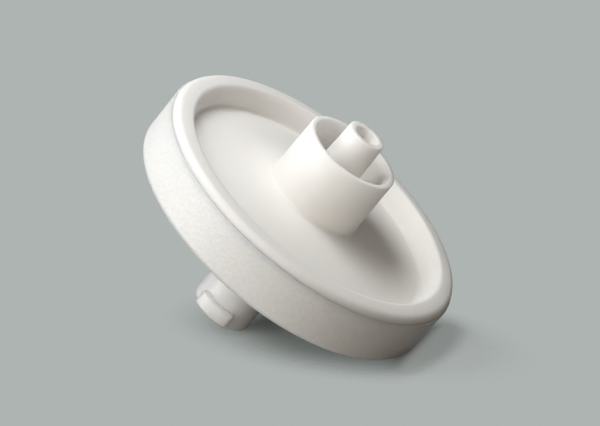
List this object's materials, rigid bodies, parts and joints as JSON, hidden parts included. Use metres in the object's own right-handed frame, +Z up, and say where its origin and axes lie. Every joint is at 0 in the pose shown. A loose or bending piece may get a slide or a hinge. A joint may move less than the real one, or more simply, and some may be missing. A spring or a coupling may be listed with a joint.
{
  "type": "syringe filter",
  "caption": "Round plastic syringe filter with a membrane disc inside, a female luer inlet stub and a male luer outlet in a locking collar.",
  "frame": {"origin": "on the table, under the middle of the filter's outline as it lies leaning on its stub and rim", "axes": "+Z up from the table; the flow axis lies in the XZ plane and leans 38.5 degrees from +Z towards +X, outlet end up; +Y along the housing's horizontal diameter, 3.5 degrees off the line through the two lugs"},
  "size_m": [0.0296, 0.034, 0.0252],
  "materials": {
    "white_polypropylene": "satin",
    "natural_polypropylene": "translucent, satin",
    "band_polypropylene": "slightly translucent, satin",
    "membrane": "matt"
  },
  "bodies": {
    "root": {"outlet_housing": "white_polypropylene", "inlet_housing": "natural_polypropylene", "sealing_band": "band_polypropylene", "filter_membrane": "membrane"}
  },
  "joints": []
}
